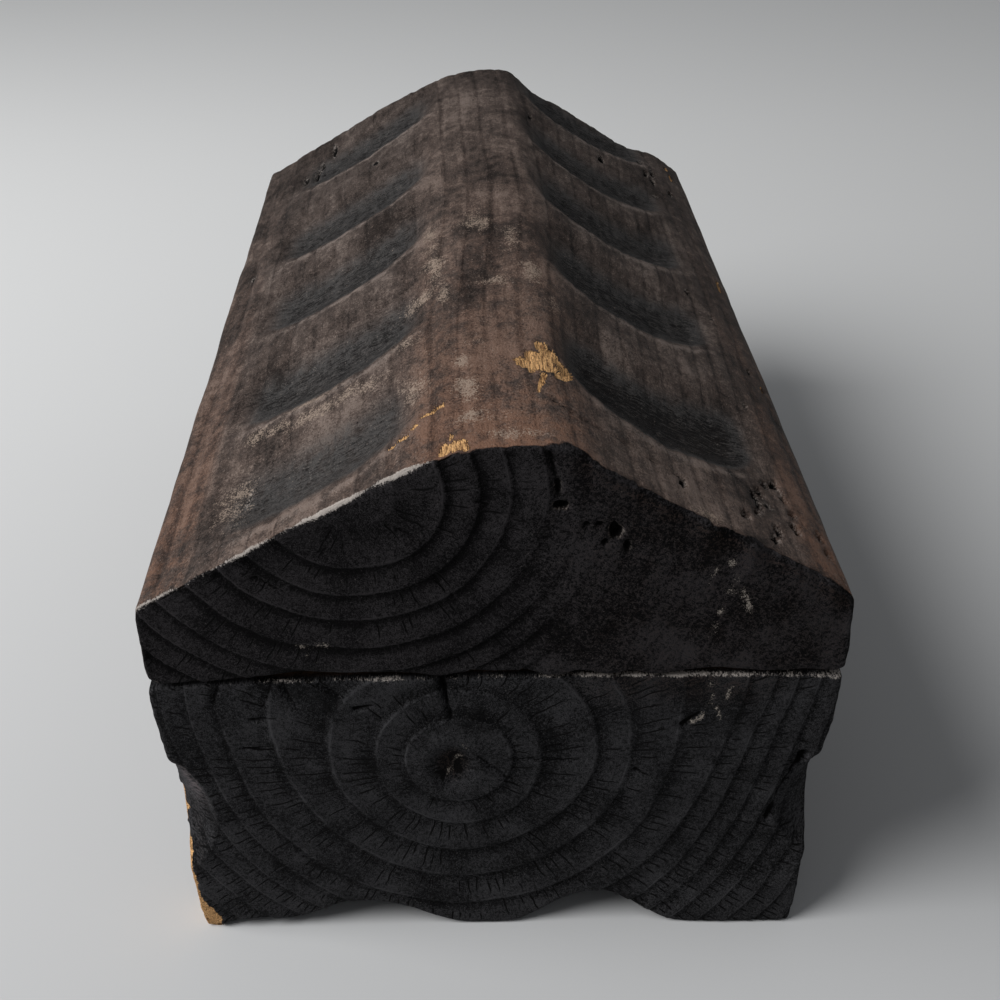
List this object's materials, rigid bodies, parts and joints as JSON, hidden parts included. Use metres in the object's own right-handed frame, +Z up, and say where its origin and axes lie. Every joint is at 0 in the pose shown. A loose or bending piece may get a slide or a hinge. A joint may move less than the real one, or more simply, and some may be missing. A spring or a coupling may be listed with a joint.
{
  "type": "trinket box",
  "caption": "Hand-carved wooden trinket box: hollowed base with notched corners and scalloped skirt, and a lift-off gabled lid with gouged hollows, located by pegs.",
  "frame": {"origin": "centre of the underside, on the plane that the feet stand on", "axes": "+Z up, +Y along the ridge from the front end to the rear end, +X to the right as seen from the front end"},
  "size_m": [0.118, 0.208, 0.1065],
  "materials": {
    "charred_wood": "charred and brushed, near black, matt",
    "worn_dark_wood": "dark stain worn brown on the ridge and crests, dull sheen",
    "peg_wood": "bare turned wood"
  },
  "bodies": {
    "base": {"base": "charred_wood", "front_peg": "peg_wood", "rear_peg": "peg_wood"},
    "lid": {"lid": "worn_dark_wood"}
  },
  "joints": [
    {"name": "lid_lift", "type": "slide", "parent": "base", "child": "lid", "axis": [0, 0, 1], "range_m": [0, 0.12]}
  ]
}
